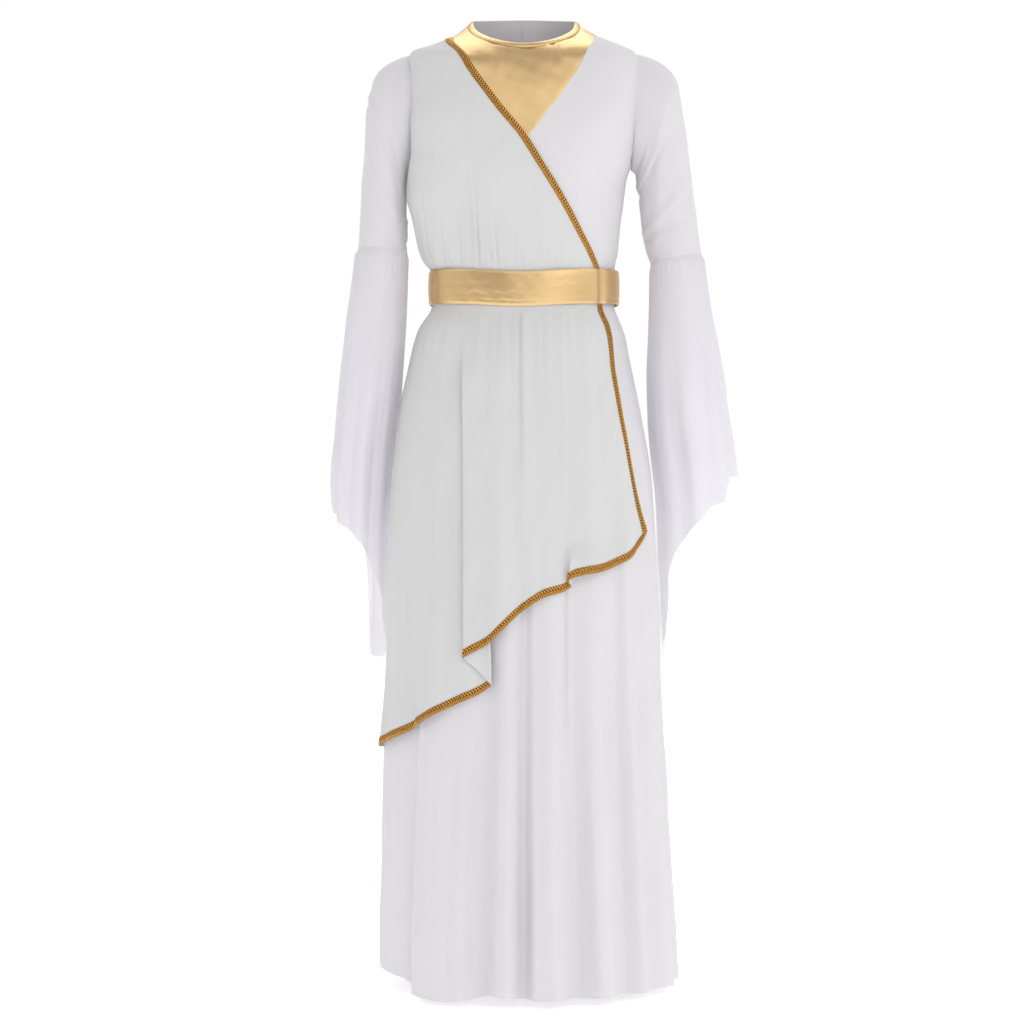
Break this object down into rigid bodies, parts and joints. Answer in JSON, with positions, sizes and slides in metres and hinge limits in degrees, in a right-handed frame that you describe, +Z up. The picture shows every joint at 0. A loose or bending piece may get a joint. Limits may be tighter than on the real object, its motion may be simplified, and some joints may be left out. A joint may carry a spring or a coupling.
{
  "type": "greek goddess costume",
  "caption": "Ankle-length draped costume dress with long bell sleeves, a gold V inset, a one-shoulder overlay edged with gold braid, and a gold belt.",
  "frame": {"origin": "middle of the neck opening, level with the middle of the shoulder seams, where the wearer's shoulders hold the costume up", "axes": "+Z up along the wearer's body, -Y out of the front, +X to the wearer's left"},
  "size_m": [0.4629, 0.2819, 1.085],
  "materials": {
    "knit": "matt brushed knit, pale lilac white",
    "chiffon": "sheer matt weave, neutral white",
    "gold_foil_knit": "satin foil-coated stretch knit, pale gold",
    "gold_braid": "metallic thread braid, deep gold"
  },
  "bodies": {
    "root": {"bodice_front": "knit", "bodice_back_right": "knit", "bodice_back_left": "knit", "skirt_front": "knit", "skirt_back": "knit", "sleeve_upper_right": "knit", "sleeve_upper_left": "knit", "sleeve_flare_right": "knit", "sleeve_flare_left": "knit", "overlay_bodice": "chiffon", "overlay_skirt": "chiffon", "neck_inset": "gold_foil_knit", "neck_binding": "gold_foil_knit", "belt": "gold_foil_knit", "braid_bodice": "gold_braid", "braid_skirt_edge": "gold_braid", "braid_hem_side": "gold_braid", "braid_hem_middle": "gold_braid", "braid_hem_front": "gold_braid"}
  },
  "joints": []
}
